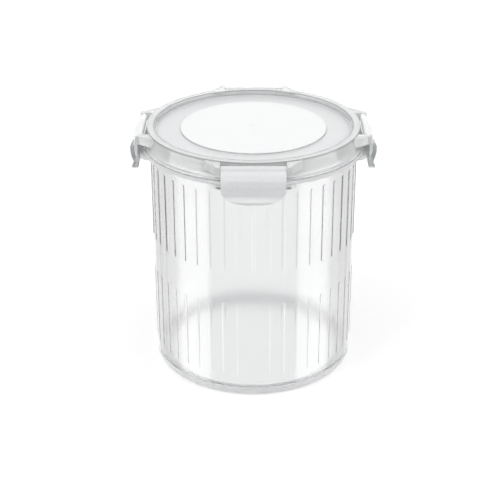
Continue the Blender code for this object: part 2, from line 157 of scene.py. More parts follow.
class Graph:
    """The nodes of one material or world."""

    def __init__(self, tree: bpy.types.NodeTree) -> None:
        """Keep the node tree.

        Args:
            tree: Node tree that the nodes go into.
        """
        self.tree = tree

    def node(
        self,
        kind: str,
        settings: dict[str, Any] | None = None,
        inputs: dict[str | int, Any] | None = None,
    ) -> bpy.types.Node:
        """Add a node.

        Args:
            kind: Type of the node.
            settings: Properties that are set first.
            inputs: Values or links of its input sockets, by name or place.

        Returns:
            The new node.
        """
        made = self.tree.nodes.new(kind)
        for name, value in (settings or {}).items():
            setattr(made, name, value)
        self.feed(made, inputs or {})
        return made

    def feed(self, node: bpy.types.Node, inputs: dict[str | int, Any]) -> None:
        """Set or link input sockets.

        Args:
            node: Node whose inputs are set.
            inputs: Values or links, by the socket's name or place.
        """
        for name, value in inputs.items():
            socket = node.inputs[name]
            if isinstance(value, Shade):
                self.tree.links.new(value.socket, socket)
            elif isinstance(value, bpy.types.NodeSocket):
                self.tree.links.new(value, socket)
            else:
                socket.default_value = value

    def value(self, node: bpy.types.Node, output: str | int = 0) -> Shade:
        """Output of a node as a value."""
        return Shade(self, node.outputs[output])

    def math(self, operation: str, *values: Shade | float) -> Shade:
        """Result of a Math node.

        Args:
            operation: Operation of the node.
            values: Its operands, in order.

        Returns:
            The result.
        """
        node = self.node("ShaderNodeMath", {"operation": operation}, dict(enumerate(values)))
        return self.value(node)

    def step(self, value: Shade, start: float, end: float) -> Shade:
        """Smooth rise from 0 to 1.

        Args:
            value: What is compared.
            start: Where the rise starts.
            end: Where it ends.

        Returns:
            The share, from 0 to 1.
        """
        node = self.node(
            "ShaderNodeMapRange",
            {"interpolation_type": "SMOOTHSTEP", "clamp": True},
            {"Value": value, "From Min": start, "From Max": end},
        )
        return self.value(node, "Result")

    def mix(self, share: Shade | float, first: Any, second: Any) -> Shade:
        """Colour between two colours.

        Args:
            share: Share of the second colour.
            first: First colour.
            second: Second colour.

        Returns:
            The mixed colour.
        """
        inputs = {MIX_SHARE: share, MIX_FIRST: first, MIX_SECOND: second}
        node = self.node("ShaderNodeMix", {"data_type": "RGBA"}, inputs)
        return self.value(node, MIX_COLOUR)

    def noise(self, place: Shade, scale: float, detail: float = 2.0) -> Shade:
        """Noise over the object's own place.

        Args:
            place: Coordinates of the point.
            scale: Waves in a metre.
            detail: Finer layers of the noise.

        Returns:
            Noise from 0 to 1.
        """
        inputs = {"Vector": place, "Scale": scale, "Detail": detail}
        return self.value(self.node("ShaderNodeTexNoise", None, inputs))

    def bump(self, height: Shade, distance: float) -> Shade:
        """Normal of a surface with a fine relief.

        Args:
            height: Relief, from 0 to 1.
            distance: Height of the relief.

        Returns:
            The bumped normal.
        """
        return self.value(self.node("ShaderNodeBump", None, {"Distance": distance, "Height": height}))

    def place(self) -> Shade:
        """Place of a point in the object's own frame."""
        return self.value(self.node("ShaderNodeTexCoord"), "Object")


def new_material(name: str) -> tuple[bpy.types.Material, Graph, bpy.types.Node]:
    """Make a node material.

    Args:
        name: Name of the material.

    Returns:
        The material, its nodes and its shader.
    """
    material = bpy.data.materials.new(name)
    material.use_nodes = True
    return material, Graph(material.node_tree), material.node_tree.nodes["Principled BSDF"]


def opaque(colour: Colour) -> Rgba:
    """Colour with a full alpha."""
    return (*colour, 1.0)


@dataclass(frozen=True)
class ClearPlastic:
    """Clear glossy moulded plastic.

    Attributes:
        name: Name of the material.
        tint: Colour that each surface passes.
        roughness: Roughness of the surface.
        index: Index of refraction.
        ripple: Height of the moulding's slow waves.
        ripple_scale: Waves in a metre.
        roughness_change: Change of the roughness over the surface.
    """

    name: str
    tint: Colour = (0.99, 0.993, 0.995)
    roughness: float = 0.17
    index: float = 1.49
    ripple: float = 0.02 * MM
    ripple_scale: float = 60.0
    roughness_change: float = 0.02

    def material(self) -> bpy.types.Material:
        """Make the material.

        Returns:
            The new material.
        """
        material, graph, shader = new_material(self.name)
        wave = graph.noise(graph.place(), self.ripple_scale)
        graph.feed(
            shader,
            {
                "Base Color": opaque(self.tint),
                "Roughness": self.roughness + self.roughness_change * wave,
                "IOR": self.index,
                "Transmission Weight": 1.0,
                "Normal": graph.bump(wave, self.ripple),
            },
        )
        return material


@dataclass(frozen=True)
class MilkyPlastic:
    """Milky, half clear plastic with a fine satin grain.

    Attributes:
        name: Name of the material.
        colour: Colour of the milky share.
        shaded_colour: Colour that it drifts to over the surface.
        clear_share: Share of the light that passes.
        roughness: Roughness of the surface.
        grain_scale: Grains in a metre.
        grain_height: Height of the grain.
        index: Index of refraction.
        grain_detail: Finer layers of the grain.
        cloud_scale: Drifts of the colour in a metre.
        roughness_change: Change of the roughness over the grain.
    """

    name: str
    colour: Colour
    shaded_colour: Colour
    clear_share: float
    roughness: float
    grain_scale: float = 3000.0
    grain_height: float = 0.001 * MM
    index: float = 1.49
    grain_detail: float = 3.0
    cloud_scale: float = 90.0
    roughness_change: float = 0.10

    def material(self) -> bpy.types.Material:
        """Make the material.

        Returns:
            The new material.
        """
        material, graph, shader = new_material(self.name)
        place = graph.place()
        cloud = graph.noise(place, self.cloud_scale)
        grain = graph.noise(place, self.grain_scale, self.grain_detail)
        graph.feed(
            shader,
            {
                "Base Color": graph.mix(cloud, opaque(self.colour), opaque(self.shaded_colour)),
                "Roughness": self.roughness + self.roughness_change * grain,
                "IOR": self.index,
                "Transmission Weight": self.clear_share,
                "Normal": graph.bump(grain, self.grain_height),
            },
        )
        return material


@dataclass(frozen=True)
class PaleFloor:
    """White table top that keeps shadows and shows white to the camera; seen through the plastic it
    glows, with painted shade far to the sides.

    Attributes:
        name: Name of the material.
        colour: Colour under the lamps.
        lift: Light added for the camera, so that the bare floor is white.
        middle: Level seen through the plastic near the middle.
        sides: Lower level seen through the plastic far to the sides, painted shade that darkens the
            ribs' flanks.
        across: Distances from the middle plane between which the level falls.
        behind: Distances behind the jar's axis between which that fall sets in.
    """

    name: str = "pale_floor"
    colour: Colour = (0.8, 0.8, 0.8)
    lift: float = 0.33
    middle: float = 0.92
    sides: float = 0.78
    across: Point = (0.026, 0.082)
    behind: Point = (0.03, 0.11)

    def material(self) -> bpy.types.Material:
        """Make the material.

        Returns:
            The new material.
        """
        material, graph, shader = new_material(self.name)
        rays = graph.node("ShaderNodeLightPath")
        seen = graph.value(rays, "Is Camera Ray")
        through = graph.value(rays, "Is Transmission Ray")
        # Painted shade: the glow seen through the plastic dims far to the sides, behind the jar's
        # axis, which darkens the ribs' flanks.
        parts = graph.node("ShaderNodeSeparateXYZ", None, {0: graph.place()})
        offset = graph.math("ABSOLUTE", graph.value(parts, "X"))
        fall = graph.step(offset, *self.across)
        fall = fall * graph.step(graph.value(parts, "Y"), *self.behind)
        level = self.middle - (self.middle - self.sides) * fall
        graph.feed(
            shader,
            {
                "Base Color": graph.mix(through, opaque(self.colour), BLACK),
                "Roughness": 1.0,
                "Specular IOR Level": 0.0,
                "Emission Color": WHITE,
                "Emission Strength": seen * self.lift + through * level,
            },
        )
        return material


def rounded(corners: Sequence[Corner], steps: int, closed: bool = False) -> list[Point]:
    """Outline with rounded corners.

    Args:
        corners: First and second coordinate of each corner and the radius of its rounding.
        steps: Segments of each rounding.
        closed: Whether the last corner joins the first.

    Returns:
        Points of the rounded outline.
    """
    points: list[Point] = []
    count = len(corners)
    for index, (x, y, radius) in enumerate(corners):
        end = index in (0, count - 1)
        if radius <= 0 or (end and not closed):
            points.append((x, y))
            continue
        here = Vector((x, y))
        before = Vector(corners[index - 1][:2]) - here
        after = Vector(corners[(index + 1) % count][:2]) - here
        angle = before.angle(after)
        if math.pi - angle < STRAIGHT_ANGLE:
            points.append((x, y))
            continue
        reach = radius / math.tan(angle * HALF)
        reach = min(reach, min(before.length, after.length) * LONGEST_ROUNDING_SHARE)
        start = here + before.normalized() * reach
        finish = here + after.normalized() * reach
        for step in range(steps + 1):
            share = step / steps
            first = start.lerp(here, share)
            second = here.lerp(finish, share)
            point = first.lerp(second, share)
            points.append((point.x, point.y))
    return points


def arc_points(centre: Point, radius: float, start: float, end: float, steps: int) -> list[Point]:
    """Points along an arc, ends included."""
    angles = [start + (end - start) * step / steps for step in range(steps + 1)]
    return [(centre[0] + radius * math.cos(a), centre[1] + radius * math.sin(a)) for a in angles]


def add_piece(name: str, mesh: bpy.types.Mesh) -> bpy.types.Object:
    """Link a mesh to the scene as an object.

    Args:
        name: Name of the piece.
        mesh: Its mesh.

    Returns:
        The new piece.
    """
    piece = bpy.data.objects.new(name, mesh)
    bpy.context.scene.collection.objects.link(piece)
    return piece


def lathe(
    name: str,
    rows: Sequence[Point],
    angles: Sequence[float],
    closed: bool = False,
    radius_at: Callable[[int, float], float] | None = None,
) -> bpy.types.Object:
    """Turned piece, whose radius may change round the axis.

    Args:
        name: Name of the piece.
        rows: Radius and height of each ring.
        angles: Angle of each column, from +X.
        closed: Whether the last ring joins the first.
        radius_at: Gives the radius of a ring at an angle, or None for round rings.

    Returns:
        The new piece.
    """
    shape = bmesh.new()
    rings = []
    for index, (radius, height) in enumerate(rows):
        if radius <= 0:
            rings.append([shape.verts.new((0, 0, height))])
            continue
        ring = []
        for angle in angles:
            reach = radius_at(index, angle) if radius_at else radius
            ring.append(shape.verts.new((reach * math.cos(angle), reach * math.sin(angle), height)))
        rings.append(ring)
    pairs = list(zip(rings, rings[1:]))
    if closed:
        pairs.append((rings[-1], rings[0]))
    count = len(angles)
    for first, second in pairs:
        for column in range(count):
            after = (column + 1) % count
            corners = [first[column % len(first)], first[after % len(first)]]
            corners += [second[after % len(second)], second[column % len(second)]]
            unique = list(dict.fromkeys(corners))
            if len(unique) >= LEAST_CORNERS:
                shape.faces.new(unique)
    bmesh.ops.remove_doubles(shape, verts=shape.verts, dist=WELD_DISTANCE)
    bmesh.ops.dissolve_degenerate(shape, edges=shape.edges, dist=WELD_DISTANCE)
    bmesh.ops.recalc_face_normals(shape, faces=shape.faces)
    return add_piece(name, mesh_from(name, shape))


def mesh_from(name: str, shape: bmesh.types.BMesh) -> bpy.types.Mesh:
    """Turn a finished shape into a mesh and free it.

    Args:
        name: Name of the mesh.
        shape: Finished shape.

    Returns:
        The new mesh.
    """
    mesh = bpy.data.meshes.new(name)
    shape.to_mesh(mesh)
    shape.free()
    return mesh


def plate(
    name: str,
    outline: Sequence[Point],
    half: float,
    matrix: Matrix,
    edge: float = 0.0,
    edge_steps: int = 2,
) -> bpy.types.Object:
    """Plate from a closed outline, with softened edges.

    Args:
        name: Name of the piece.
        outline: Points of the outline, in its own plane.
        half: Half of the plate's thickness.
        matrix: Turns the plate into place.
        edge: Width of the softening round both faces.
        edge_steps: Segments of the softening.

    Returns:
        The new piece.
    """
    shape = bmesh.new()
    lower = [shape.verts.new((x, y, -half)) for x, y in outline]
    upper = [shape.verts.new((x, y, half)) for x, y in outline]
    shape.faces.new(lower[::-1])
    shape.faces.new(upper)
    for index, vert in enumerate(lower):
        after = (index + 1) % len(lower)
        shape.faces.new((vert, lower[after], upper[after], upper[index]))
    if edge > 0:
        rims = [e for e in shape.edges if e.verts[0].co.z * e.verts[1].co.z > 0]
        bmesh.ops.bevel(
            shape,
            geom=rims,
            offset=edge,
            offset_type="OFFSET",
            segments=edge_steps,
            profile=HALF,
            affect="EDGES",
            clamp_overlap=True,
        )
    bmesh.ops.transform(shape, matrix=matrix, verts=shape.verts)
    bmesh.ops.recalc_face_normals(shape, faces=shape.faces)
    return add_piece(name, mesh_from(name, shape))


def rod(name: str, centre: Vector, radius: float, half: float) -> bpy.types.Object:
    """Cylinder along X.

    Args:
        name: Name of the piece.
        centre: Its middle.
        radius: Its radius.
        half: Half of its length.

    Returns:
        The new piece.
    """
    outline = arc_points((0, 0), radius, 0, FULL_TURN, PIN_FACETS)[:-1]
    matrix = Matrix.Translation(centre) @ Matrix.Rotation(QUARTER_TURN, MATRIX_SIZE, "Y")
    return plate(name, outline, half, matrix)


def laid_flat(height: float) -> Matrix:
    """Matrix that lays an outline of width and reach level, at a height."""
    return Matrix(((1, 0, 0, 0), (0, -1, 0, 0), (0, 0, 1, height), (0, 0, 0, 1)))


def along_width() -> Matrix:
    """Matrix that runs an outline of reach and height along a clip's width."""
    return Matrix(((0, 0, 1, 0), (-1, 0, 0, 0), (0, 1, 0, 0), (0, 0, 0, 1)))


def facing(reach: float) -> Matrix:
    """Matrix that turns an outline of width and height to the front, at a reach."""
    return Matrix(((1, 0, 0, 0), (0, 0, 1, -reach), (0, 1, 0, 0), (0, 0, 0, 1)))


def combine(piece: bpy.types.Object, other: bpy.types.Object, operation: str) -> None:
    """Join, cut or clip a piece with another, which is then removed.

    Args:
        piece: Piece that is changed.
        other: Piece that it is joined to, cut with or clipped by.
        operation: Kind of Boolean.
    """
    modifier = piece.modifiers.new("combine", "BOOLEAN")
    modifier.operation = operation
    modifier.solver = "EXACT"
    modifier.object = other
    settle(piece)
    bpy.data.objects.remove(other, do_unlink=True)


def settle(piece: bpy.types.Object) -> None:
    """Turn a piece's modifiers into its mesh.

    Args:
        piece: Piece that is changed.
    """
    bpy.context.view_layer.update()
    graph = bpy.context.evaluated_depsgraph_get()
    mesh = bpy.data.meshes.new_from_object(piece.evaluated_get(graph))
    mesh.name = piece.name
    piece.modifiers.clear()
    piece.data = mesh


def dress(
    piece: bpy.types.Object,
    materials: Sequence[bpy.types.Material],
    body: str,
    node: str,
) -> bpy.types.Object:
    """Shade a piece, give it its finish and put it in its node's place.

    Args:
        piece: Piece that is dressed.
        materials: Its materials, by the faces' index.
        body: Body of the frame that it rides on.
        node: Node that it stands for.

    Returns:
        The dressed piece.
    """
    mesh = piece.data
    mesh.shade_smooth()
    mesh.set_sharp_from_angle(angle=SMOOTH_ANGLE)
    weighted = piece.modifiers.new("flats", "WEIGHTED_NORMAL")
    weighted.keep_sharp = True
    weighted.weight = FLAT_FACE_WEIGHT
    settle(piece)
    mesh = piece.data
    mesh.materials.clear()
    for material in materials:
        mesh.materials.append(material)
    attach(piece, body)
    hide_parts(node)
    LOG.info("%s: %d faces, on %s", piece.name, len(mesh.polygons), body)
    return piece


@dataclass
class Jar:
    """The container: foot, fluted wall, flange, ledges and neck in one moulding."""

    wall_radius: float = 52.3 * MM
    base_radius: float = 52.2 * MM
    wall: float = 1.9 * MM
    floor_low: float = 0.8 * MM
    floor_top: float = 3.2 * MM
    floor_ring: float = 20.0 * MM
    foot_width: float = 3.1 * MM
    foot_slope: float = 0.5 * MM
    base_fillet: float = 4.0 * MM
    inner_fillet: float = 3.5 * MM
    flange_radius: float = 56.5 * MM
    flange_top: float = 120.6 * MM
    flange_bottom: float = 118.7 * MM
    neck_outer: float = 52.9 * MM
    neck_inner: float = 51.2 * MM
    neck_top: float = 126.2 * MM
    step_top: float = 119.6 * MM
    step_bottom: float = 118.1 * MM
    edge: float = 0.35 * MM
    ledge_top: float = 119.3 * MM
    ledge_bottom: float = 117.6 * MM
    ledge_half: float = 20.0 * MM
    ledge_face: float = 56.5 * MM
    ledge_corner: float = 3.2 * MM
    ledge_corner_depth: float = 1.8 * MM
    rib_count: int = 44
    rib_height: float = 0.35 * MM
    lower_share: float = 0.5
    base_top: float = 5.4 * MM
    rib_flat: float = 0.50 * MM
    rib_foot: float = 1.05 * MM
    rib_end: float = 0.7 * MM
    lower_row: tuple[float, float] = (12.0 * MM, 53.6 * MM)
    upper_row: tuple[float, float] = (71.4 * MM, 113.0 * MM)
    rib_columns: tuple[float, ...] = (0.0, 0.50, 0.61, 0.72, 0.83, 0.94, 1.05, 1.3)
    rib_end_shares: tuple[float, ...] = (0.0, 0.35, 0.65, 1.0)
    row_shares: tuple[float, ...] = (0.25, 0.5, 0.75)
    ledge_end_share: float = 0.95
    fillet_steps: int = 4
    base_steps: int = 8

    def angles(self) -> list[float]:
        """Angles of the columns, close together on the ribs' flanks.

        Returns:
            The angles from +X, in order.
        """
        pitch = FULL_TURN / self.rib_count
        offsets = [share * MM / self.wall_radius for share in self.rib_columns]
        across_rib = [-value for value in reversed(offsets[1:])] + offsets
        found = []
        for index in range(self.rib_count):
            found += [index * pitch + offset for offset in across_rib]
            found.append((index + HALF) * pitch)
        return sorted(angle % FULL_TURN for angle in found)

    def rib_share(self, angle: float, height: float) -> float:
        """Height of the ribs at a point of the wall.

        Args:
            angle: Angle of the point, from +X.
            height: Height of the point.

        Returns:
            The share of the ribs' full height.
        """
        pitch = FULL_TURN / self.rib_count
        offset = abs((angle + pitch * HALF) % pitch - pitch * HALF) * self.wall_radius
        across_share = smooth_fall(offset, self.rib_flat, self.rib_foot)
        along_share = 0.0
        for (low, high), share in ((self.lower_row, self.lower_share), (self.upper_row, 1.0)):
            inside = min(height - low, high - height)
            rise = share * (1.0 - smooth_fall(inside, 0.0, self.rib_end))
            along_share = max(along_share, rise)
        return across_share * along_share

    def ledge_reach(self, angle: float) -> float:
        """Radius of the ledges' outline, as if each ran on across the jar.

        Args:
            angle: Angle from +X.

        Returns:
            The radius at that angle.
        """
        turn = (angle + QUARTER_TURN * HALF) % QUARTER_TURN - QUARTER_TURN * HALF
        turn = abs(turn)
        face = self.ledge_face / math.cos(turn)
        side = self.ledge_half / max(math.sin(turn), LEAST_SINE)
        start = Vector((self.ledge_face, self.ledge_half - self.ledge_corner))
        end = Vector((self.ledge_face - self.ledge_corner_depth, self.ledge_half))
        run = end - start
        aim = Vector((math.cos(turn), math.sin(turn)))
        corner = (start.x * run.y - start.y * run.x) / (aim.x * run.y - aim.y * run.x)
        return min(face, side, corner)

    def rows(self) -> tuple[list[Point], list[str]]:
        """Rings of the jar and what each of them follows.

        Returns:
            Radius and height of each ring, and its kind: round, wall, ledge or lip.
        """
        inner_base = self.base_radius - self.wall
        inner_top = self.wall_radius - self.wall
        foot_outer = self.base_radius - self.base_fillet
        foot_inner = foot_outer - self.foot_width
        inside = rounded(
            [
                (0.0, self.floor_top, 0.0),
                (self.floor_ring, self.floor_top, 0.0),
                (inner_base, self.floor_top, self.inner_fillet),
                (inner_top, self.step_bottom, self.edge),
                (self.neck_inner, self.step_top, self.edge),
                (self.neck_inner, self.neck_top, self.edge),
                (self.neck_outer, self.neck_top, self.edge),
                (self.neck_outer, self.flange_top, self.edge * HALF),
                (self.flange_radius, self.flange_top, self.edge),
                (self.flange_radius, self.ledge_top, 0.0),
            ],
            self.fillet_steps,
        )
        inside[-1] = (self.flange_radius, self.ledge_top)
        rows: list[Point] = list(inside)
        kinds = ["round"] * len(rows)
        rows += [
            (self.flange_radius, self.ledge_top),
            (self.flange_radius, self.flange_bottom),
            (self.wall_radius, self.flange_bottom),
            (self.wall_radius, self.ledge_bottom),
            (self.wall_radius, self.ledge_bottom),
        ]
        kinds += ["lip", "lip", "ledge", "ledge", "round"]
        for height in self.wall_heights():
            slope = (height - self.base_fillet) / (self.ledge_bottom - self.base_fillet)
            rows.append((self.base_radius + (self.wall_radius - self.base_radius) * slope, height))
            kinds.append("wall")
        centre = (foot_outer, self.base_fillet)
        under = arc_points(centre, self.base_fillet, 0, -QUARTER_TURN, self.base_steps)
        under += [
            (foot_inner, 0.0),
            (foot_inner - self.foot_slope, self.floor_low),
            (self.floor_ring, self.floor_low),
            (0.0, self.floor_low),
        ]
        rows += under
        kinds += ["round"] * len(under)
        return rows, kinds

    def wall_heights(self) -> list[float]:
        """Heights of the wall's rings, close together at the ends of the ribs.

        Returns:
            The heights, from the top down.
        """
        found = []
        for low, high in (self.upper_row, self.lower_row):
            for share in self.rib_end_shares:
                found += [low + self.rib_end * share, high - self.rib_end * share]
            found += [low + (high - low) * share for share in self.row_shares]
        found.append(self.base_top)
        return sorted(found, reverse=True)

    def zone(self, face: bpy.types.MeshPolygon) -> JarZone:
        """Zone of a face. The flange's edge and the ledges' ends share the base's zone.

        Args:
            face: Face of the jar.

        Returns:
            The zone.
        """
        radius = math.hypot(face.center.x, face.center.y)
        foot = self.base_radius - self.base_fillet - self.foot_width - MM
        corner = self.floor_top + self.inner_fillet * HALF
        inside = face.normal.z > 0 or radius < self.base_radius - self.wall * HALF
        inside = inside and face.center.z > self.floor_top * HALF
        if not inside and radius > foot and face.center.z < self.base_top:
            return JarZone.BASE
        outward = face.center.x * face.normal.x + face.center.y * face.normal.y
        on_ledge = self.ledge_bottom < face.center.z < self.flange_bottom
        if on_ledge and abs(outward) < radius * self.ledge_end_share:
            return JarZone.BASE
        on_flange = self.flange_bottom < face.center.z < self.flange_top
        if on_flange and radius > self.neck_outer + MM:
            return JarZone.BASE
        if inside and self.floor_top + self.edge * HALF < face.center.z < corner:
            return JarZone.CORNER
        return JarZone.BODY

    def build(self, finishes: dict[JarZone, ClearPlastic | MilkyPlastic]) -> bpy.types.Object:
        """Make the jar.

        Args:
            finishes: Finish of each zone.

        Returns:
            The jar's piece.
        """
        rows, kinds = self.rows()

        def radius_at(index: int, angle: float) -> float:
            """Radius of a ring at an angle, with its ribs or ledges.

            Args:
                index: Number of the ring.
                angle: Angle from +X.

            Returns:
                The radius.
            """
            radius, height = rows[index]
            if kinds[index] == "wall":
                return radius + self.rib_height * self.rib_share(angle, height)
            if kinds[index] in ("ledge", "lip"):
                return max(radius, self.ledge_reach(angle))
            return radius

        piece = lathe("jar_shell", rows, self.angles(), False, radius_at)
        materials = [finishes[zone].material() for zone in JarZone]
        dress(piece, materials, "jar_body", "jar")
        for face in piece.data.polygons:
            face.material_index = self.zone(face).value
        return piece


def smooth_fall(value: float, start: float, end: float) -> float:
    """Share that falls smoothly from one at the start to zero at the end."""
    share = min(max((value - start) / (end - start), 0.0), 1.0)
    return 1.0 - share * share * (3.0 - 2.0 * share)


@dataclass
class Lid:
    """The lid: rim, recessed panel, skirt, sealing plug and the clips' ears."""

    top: float = 130.0 * MM
    roof: float = 128.4 * MM
    rim_inner: float = 50.0 * MM
    rim_outer: float = 54.0 * MM
    line_width: float = 0.5 * MM
    outer_line: float = 0.9 * MM
    panel_top: float = 127.2 * MM
    panel_bottom: float = 125.5 * MM
    centre_radius: float = 36.8 * MM
    centre_slope: float = 0.5 * MM
    centre_rise: float = 0.9 * MM
    gate_radius: float = 2.2 * MM
    gate_depth: float = 0.3 * MM
    seat: float = 120.9 * MM
    neck_top: float = 126.2 * MM
    skirt_inner: float = 53.2 * MM
    lip_radius: float = 56.3 * MM
    lip_height: float = 0.8 * MM
    lip_wall: float = 1.5 * MM
    lip_step: float = 0.8 * MM
    lip_slope: float = 0.9 * MM
    skirt_chamfer: float = 2.3 * MM
    skirt_chamfer_out: float = 0.4 * MM
    plug_outer: float = 50.9 * MM
    plug_wall: float = 1.5 * MM
    plug_bottom: float = 122.2 * MM
    edge: float = 0.35 * MM
    facets: int = 240
    fillet_steps: int = 3
    hinge_reach: float = 56.5 * MM
    hinge_height: float = 127.6 * MM
    bore_radius: float = 1.20 * MM
    bore_half: float = 17.4 * MM
    ear_inner: float = 15.6 * MM
    ear_width: float = 2.6 * MM
    ear_drop: float = 0.4 * MM
    ear_height: float = 4.4 * MM
    ear_tip: float = 58.6 * MM
    ear_chamfer: float = 0.5 * MM
    ear_embed: float = 0.3 * MM
    ear_edge: float = 0.2 * MM
    ear_flare: tuple[Point, ...] = ((3.4, 20.8), (1.7, 23.2), (0.5, 25.2))
    ear_flare_radius: float = 2.0 * MM
    ear_inner_angle: float = 21.0
    panel_margin: float = 1.0 * MM
    skirt_steepness: float = 0.5
    wall_steepness: float = 0.2

    def rows(self) -> list[Point]:
        """Rings of the lid, from the top's centre to the underside's centre.

        Returns:
            Radius and height of each ring.
        """
        edge = self.edge
        wide_edge = edge + edge
        centre_top = self.panel_top + self.centre_rise
        centre_foot = self.centre_radius + self.centre_slope
        lip_top = self.seat + self.lip_height
        plug_inner = self.plug_outer - self.plug_wall
        thick = self.panel_top - self.panel_bottom
        skirt_run = self.lip_radius - self.lip_step - self.rim_outer
        slope = skirt_run / (self.top - lip_top - self.lip_slope)
        return rounded(
            [
                (0.0, centre_top - self.gate_depth, 0.0),
                (self.gate_radius - self.gate_depth, centre_top - self.gate_depth, edge),
                (self.gate_radius, centre_top, edge),
                (self.centre_radius, centre_top, edge),
                (centre_foot, self.panel_top, edge),
                (self.rim_inner, self.panel_top, wide_edge),
                (self.rim_inner, self.top, edge),
                (self.rim_inner + edge + self.line_width, self.top, 0.0),
                (self.rim_outer, self.top, edge),
                (self.rim_outer + self.outer_line * slope, self.top - self.outer_line, 0.0),
                (self.lip_radius - self.lip_step, lip_top + self.lip_slope, wide_edge),
                (self.lip_radius, lip_top, edge),
                (self.lip_radius, self.seat, edge * HALF),
                (self.lip_radius - self.lip_wall, self.seat, edge),
                (self.skirt_inner + self.skirt_chamfer_out, self.seat + self.skirt_chamfer, edge),
                (self.skirt_inner, self.neck_top, 0.0),
                (self.skirt_inner, self.roof, edge * HALF),
                (self.plug_outer, self.roof, edge * HALF),
                (self.plug_outer, self.plug_bottom, edge),
                (plug_inner, self.plug_bottom, edge),
                (plug_inner, self.panel_bottom, wide_edge),
                (centre_foot, self.panel_bottom, edge),
                (self.centre_radius, centre_top - thick, edge),
                (0.0, centre_top - thick, 0.0),
            ],
            self.fillet_steps,
        )

    def ear_outline(self) -> list[Point]:
        """Outline of the right ear, flared back into the rim.

        Returns:
            Width and reach of each point.
        """
        outer = self.ear_inner + self.ear_width
        embed = self.rim_outer - self.ear_embed
        inner_reach = math.sqrt(embed**2 - self.ear_inner**2)
        corners: list[Corner] = [
            (self.ear_inner, inner_reach, 0.0),
            (self.ear_inner, self.ear_tip, self.ear_chamfer),
            (outer, self.ear_tip, self.ear_chamfer),
            (outer, self.hinge_reach, self.ear_chamfer),
        ]
        for out, angle in self.ear_flare:
            turn = math.radians(angle)
            radius = self.rim_outer + out * MM
            corners.append((radius * math.sin(turn), radius * math.cos(turn), self.ear_flare_radius))
        for angle in (self.ear_flare[-1][1], self.ear_inner_angle):
            turn = math.radians(angle)
            corners.append((embed * math.sin(turn), embed * math.cos(turn), 0.0))
        return rounded(corners, self.fillet_steps, True)

    def zone(self, face: bpy.types.MeshPolygon) -> LidZone:
        """Zone of a face. What lies in no other zone counts as the rim.

        Args:
            face: Face of the lid.

        Returns:
            The zone.
        """
        radius = math.hypot(face.center.x, face.center.y)
        margin = self.panel_margin
        on_panel = self.panel_bottom - margin < face.center.z < self.top - margin
        on_skirt = 0.0 < face.normal.z < self.skirt_steepness and self.seat < face.center.z
        if on_skirt and face.center.z < self.top - self.outer_line:
            return LidZone.SKIRT
        # EDGE: the rim's top edges, given a dark grey colour as painted shade that draws thin dark
        # lines.
        line = self.rim_inner + self.edge + self.line_width
        if face.center.z > self.top - self.line_width and radius < line:
            return LidZone.EDGE
        outside = self.rim_outer - self.edge < radius < self.rim_outer + margin
        if face.center.z > self.top - self.outer_line and outside:
            return LidZone.EDGE
        steep = abs(face.normal.z) < self.wall_steepness
        if not on_panel or steep or radius > self.rim_inner - self.edge:
            return LidZone.RIM
        if radius > self.centre_radius + self.centre_slope:
            return LidZone.RING
        # STEP: the slope round the disc, given a dark grey colour as painted shade that draws a dark
        # line.
        return LidZone.STEP if radius > self.centre_radius else LidZone.DISC

    def build(self, finishes: dict[LidZone, MilkyPlastic]) -> bpy.types.Object:
        """Make the lid.

        Args:
            finishes: Finish of each zone; the step's and the edges' carry painted shade.

        Returns:
            The lid's piece.
        """
        start = FULL_TURN / self.facets * HALF
        angles = [start + FULL_TURN * index / self.facets for index in range(self.facets)]
        piece = lathe("lid_shell", self.rows(), angles)
        right = self.ear_outline()
        left = [(-width, reach) for width, reach in reversed(right)]
        middle = self.top - self.ear_drop - self.ear_height * HALF
        hinge = Vector((0, -self.hinge_reach, self.hinge_height))
        for side in Side:
            for outline in (right, left):
                matrix = side.turn @ laid_flat(middle)
                ear = plate("ear", outline, self.ear_height * HALF, matrix, self.ear_edge)
                combine(piece, ear, "UNION")
            bore = rod("bore", hinge, self.bore_radius, self.bore_half)
            bore.data.transform(side.turn)
            combine(piece, bore, "DIFFERENCE")
        materials = [finishes[zone].material() for zone in LidZone]
        dress(piece, materials, "lid_body", "lid")
        for face in piece.data.polygons:
            face.material_index = self.zone(face).value
        return piece


@dataclass
class Gasket:
    """The soft ring in the lid's channel."""

    inner: float = 51.2 * MM
    outer: float = 52.9 * MM
    low: float = 126.5 * MM
    high: float = 128.1 * MM
    edge: float = 0.4 * MM
    fillet_steps: int = 3
    facets: int = 180

    def build(self, finish: MilkyPlastic) -> bpy.types.Object:
        """Make the gasket.

        Args:
            finish: Finish of the gasket.

        Returns:
            The gasket's piece.
        """
        outline = rounded(
            [
                (self.outer, self.high, self.edge * HALF),
                (self.outer, self.low, self.edge),
                (self.inner, self.low, self.edge),
                (self.inner, self.high, self.edge * HALF),
            ],
            self.fillet_steps,
            True,
        )
        angles = [FULL_TURN * index / self.facets for index in range(self.facets)]
        piece = lathe("gasket_ring", outline, angles, True)
        return dress(piece, [finish.material()], "lid_body", "gasket")


